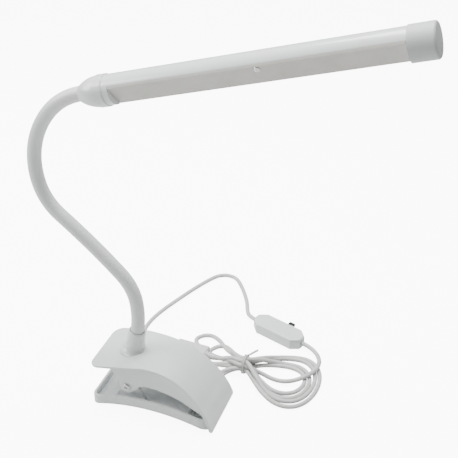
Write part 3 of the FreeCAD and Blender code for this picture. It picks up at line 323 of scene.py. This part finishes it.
PLUG_ROUTE = (
    (-8.6, 52.6, 6.0),
    (-15.0, 53.8, 4.6),
    (-22.4, 54.15, 4.1),
)

TIE = Vector((3.5, 50.5, 7.85))
PASS_REACH = 3.5  # how far each strand runs straight to either side of the tie
STRAND_RING = 4.5  # eight strands lie on this radius about a middle one
STRAND_ANGLES = (22.5, -22.5, 67.5, -67.5)
TURN_STEPS = 16
CURVE_STEPS, ROUND_STEPS = 10, 6  # fineness along a cord and round it
FALL = 27.0  # how far from the tie a strand has come down to the table

# each right-hand turn: reach along X, then how far it bows up and down the table
RIGHT_TURNS = ((56.8, 27.6, 28.0), (53.0, 24.0, 24.4), (49.4, 18.0, 20.6), (45.6, 14.0, 16.8))
# each left-hand turn: heading in degrees, reach, bow to its near side and to its far side
LEFT_TURNS = (
    (151.5, 52.0, 5.6, 10.4),
    (204.0, 43.0, 9.0, 8.0),
    (153.0, 33.0, 6.4, 10.2),
    (207.0, 31.0, 9.2, 8.0),
)
RIGHT_FULL, LEFT_FULL = 1, 3  # how far out a turn is widest: the left ones are bulbs on a narrow neck


def strand_place(number):
    """Offset across the tie of one pass: odd passes on the +Y half, even ones on the -Y half."""
    if number == 8:
        return Vector((0, 0, 0))
    side = 1 if number % 2 else -1
    angle = math.radians(STRAND_ANGLES[number // 2])
    return Vector((0, side * STRAND_RING * math.cos(angle), STRAND_RING * math.sin(angle)))


def pass_points(number, way):
    """The two points of one straight pass through the tie, way being +1 towards +X."""
    middle = TIE + strand_place(number)
    step = Vector((PASS_REACH * way, 0, 0))
    return [middle - step, middle + step]


def bow_shape(angle, full):
    """Sideways share of a turn, from 0 at the tie to 1 at its widest and back."""
    top = 2 * math.atan(math.sqrt(full + 1))
    peak = math.sin(top) * math.sin(top / 2) ** full
    return math.sin(angle) * math.sin(angle / 2) ** full / peak


def turn_points(start, end, heading, reach, first_bow, second_bow, full):
    """One turn of the hank from one pass of the tie to the next, lying on the table."""
    along = Vector((math.cos(math.radians(heading)), math.sin(math.radians(heading)), 0))
    side = Vector((-along.y, along.x, 0))
    points = []
    for k in range(2, TURN_STEPS - 1):
        share = k / TURN_STEPS
        angle = 2 * math.pi * share
        bow = bow_shape(angle, full)
        bow *= first_bow if bow > 0 else second_bow
        out = reach * (1 - math.cos(angle)) / 2
        root = start.lerp(end, share)
        down = min(1.0, out / FALL)
        down = down * down * (3 - 2 * down)
        spot = root + along * out + side * bow
        spot.z = LIE + (root.z - LIE) * (1 - down)
        points.append(spot)
    return points


def hank_route():
    points = []
    passes = [pass_points(k, -1 if k % 2 == 0 else 1) for k in range(9)]
    for k in range(4):
        points += passes[2 * k]
        out, home = passes[2 * k][1], passes[2 * k + 1][0]
        points += turn_points(out, home, *LEFT_TURNS[k], LEFT_FULL)
        points += passes[2 * k + 1]
        out, home = passes[2 * k + 1][1], passes[2 * k + 2][0]
        points += turn_points(out, home, 0.0, *RIGHT_TURNS[k], RIGHT_FULL)
    return points + passes[8]


def cord_curve(name, route):
    """One open smooth curve through a cord's route, with the cord's own thickness."""
    data = bpy.data.curves.new(name, "CURVE")
    data.dimensions = "3D"
    line = data.splines.new("NURBS")
    line.points.add(len(route) - 1)
    for point, spot in zip(line.points, route):
        point.co = (spot[0] * MM, spot[1] * MM, spot[2] * MM, 1)
        point.radius = CORD / 2
    line.order_u = 3
    line.use_endpoint_u = True
    line.resolution_u = CURVE_STEPS
    data.bevel_depth = 1.0  # times each point's radius
    data.bevel_resolution = ROUND_STEPS
    data.use_fill_caps = True
    cord = bpy.data.objects.new(name, data)
    bpy.context.collection.objects.link(cord)
    return cord


def curve_length(cord):
    """Length of a cord's line, measured on the curve without its thickness."""
    depth = cord.data.bevel_depth
    cord.data.bevel_depth = 0
    bpy.context.view_layer.update()
    graph = bpy.context.evaluated_depsgraph_get()
    mesh = bpy.data.meshes.new_from_object(cord.evaluated_get(graph))
    spots = [vertex.co.copy() for vertex in mesh.vertices]
    cord.data.bevel_depth = depth
    bpy.data.meshes.remove(mesh)
    return sum((b - a).length for a, b in zip(spots, spots[1:]))


def make_cords(finishes):
    lead = cord_curve("cord_from_clip", LEAD_ROUTE)
    supply = cord_curve("cord_to_plug", [*TAIL_ROUTE, *hank_route(), *PLUG_ROUTE])
    for cord in (lead, supply):
        cord.data.materials.append(finishes["cord_white"])
        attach(cord, "clip_base")
        print(cord.name, "length", round(curve_length(cord), 4))
    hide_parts("cord_lead")
    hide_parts("cord_tail", "cord_hank", "cord_plug_run")


# ---------------------------------------------------------------- the arm's smooth sleeve and core

ARM_START = (-61.9, 61.5)
ARM_HEADING = 80.0
# length and turn in degrees of each stretch of the arm, from the clip up to the head
ARM_BENDS = (
    (25.0, 17.0),
    (25.0, 37.0),
    (31.0, 4.0),
    (28.0, 3.0),
    (27.0, -38.0),
    (32.5, -30.0),
    (29.0, -25.0),
    (29.0, -31.8),
)
ARM_BODIES = ("upper_jaw", "arm_2", "arm_3", "arm_4", "arm_5", "arm_6", "arm_7", "head")
SLEEVE_RADIUS, SLEEVE_WALL, CORE_RADIUS = 5.0, 1.3, 3.5
RING_SIDES, SPIN_STEPS = 40, 8  # sides round the arm, and steps along each half stretch
CREASE = math.radians(30)  # edges sharper than this stay crisp


def half_arcs():
    """Each stretch as two halves: centre, turn, start point and start heading."""
    halves = []
    x, z = ARM_START
    heading = ARM_HEADING
    for length, turn in ARM_BENDS:
        radius = length / math.radians(turn)
        facing = math.radians(heading)
        centre = (x - radius * math.sin(facing), z + radius * math.cos(facing))
        for part in (0.0, 0.5):
            now = math.radians(heading + part * turn)
            spot = (centre[0] + radius * math.sin(now), centre[1] - radius * math.cos(now))
            halves.append((centre, turn / 2, spot, heading + part * turn))
        heading += turn
        facing = math.radians(heading)
        x, z = centre[0] + radius * math.sin(facing), centre[1] - radius * math.cos(facing)
    return halves


def settle(piece):
    """Normals outwards, smooth sides, and the object at the origin with its place in its mesh."""
    bpy.ops.object.mode_set(mode="EDIT")
    bpy.ops.mesh.select_all(action="SELECT")
    bpy.ops.mesh.remove_doubles(threshold=1e-6)
    bpy.ops.mesh.normals_make_consistent(inside=False)
    bpy.ops.object.mode_set(mode="OBJECT")
    bpy.ops.object.transform_apply(location=True, rotation=True, scale=True)
    bpy.ops.object.shade_smooth_by_angle(angle=CREASE)
    return piece


def swept_round(name, radius, halves):
    """A round skin swept along half stretches of the arm, left open at both ends."""
    spot, heading = halves[0][2], halves[0][3]
    bpy.ops.object.select_all(action="DESELECT")
    bpy.ops.mesh.primitive_circle_add(
        vertices=RING_SIDES,
        radius=radius * MM,
        location=(spot[0] * MM, 0, spot[1] * MM),
        rotation=(0, math.radians(90 - heading), 0),
    )
    piece = bpy.context.object
    piece.name = name
    bpy.ops.object.mode_set(mode="EDIT")
    bpy.ops.mesh.select_all(action="SELECT")
    for centre, turn, _, _ in halves:
        bpy.ops.mesh.spin(
            steps=SPIN_STEPS,
            angle=math.radians(turn),
            center=(centre[0] * MM, 0, centre[1] * MM),
            axis=(0, 1, 0),
        )
    bpy.ops.object.mode_set(mode="OBJECT")
    return piece


def sleeve_piece(name, halves):
    piece = swept_round(name, SLEEVE_RADIUS, halves)
    settle(piece)
    wall = piece.modifiers.new("wall", "SOLIDIFY")
    wall.thickness = SLEEVE_WALL * MM
    wall.offset = -1
    bpy.ops.object.modifier_apply(modifier=wall.name)
    bpy.ops.object.shade_smooth_by_angle(angle=CREASE)
    return piece


def core_piece(name, halves):
    piece = swept_round(name, CORE_RADIUS, halves)
    bpy.ops.object.mode_set(mode="EDIT")
    bpy.ops.mesh.select_all(action="DESELECT")
    bpy.ops.mesh.select_mode(type="EDGE")
    bpy.ops.mesh.select_non_manifold()
    bpy.ops.mesh.edge_face_add()
    bpy.ops.object.mode_set(mode="OBJECT")
    return settle(piece)


def make_arm(finishes):
    """Sleeve and core in seven lengths, each swept over one joint of the arm."""
    halves = half_arcs()
    last = len(ARM_BODIES) - 1
    for joint in range(1, last + 1):
        first = 0 if joint == 1 else 2 * joint - 1
        end = 2 * len(ARM_BENDS) if joint == last else 2 * joint + 1
        span = halves[first:end]
        for make, part, slot in (
            (sleeve_piece, "arm_sleeve", "sleeve_white"),
            (core_piece, "arm_core", "steel_core"),
        ):
            piece = make("smooth_%s_%d" % (part, joint), span)
            piece.data.materials.append(finishes[slot])
            stands_for = ["%s_%d" % (part, joint)]
            if joint == last:
                stands_for.append("%s_%d" % (part, joint + 1))
            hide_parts(*stands_for)
            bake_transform(piece)


# ---------------------------------------------------------------- the whole lamp

add_camera()
add_floor()
add_lights()
lamp_finishes = make_finishes()
dress_nodes(lamp_finishes)
make_cords(lamp_finishes)
make_arm(lamp_finishes)
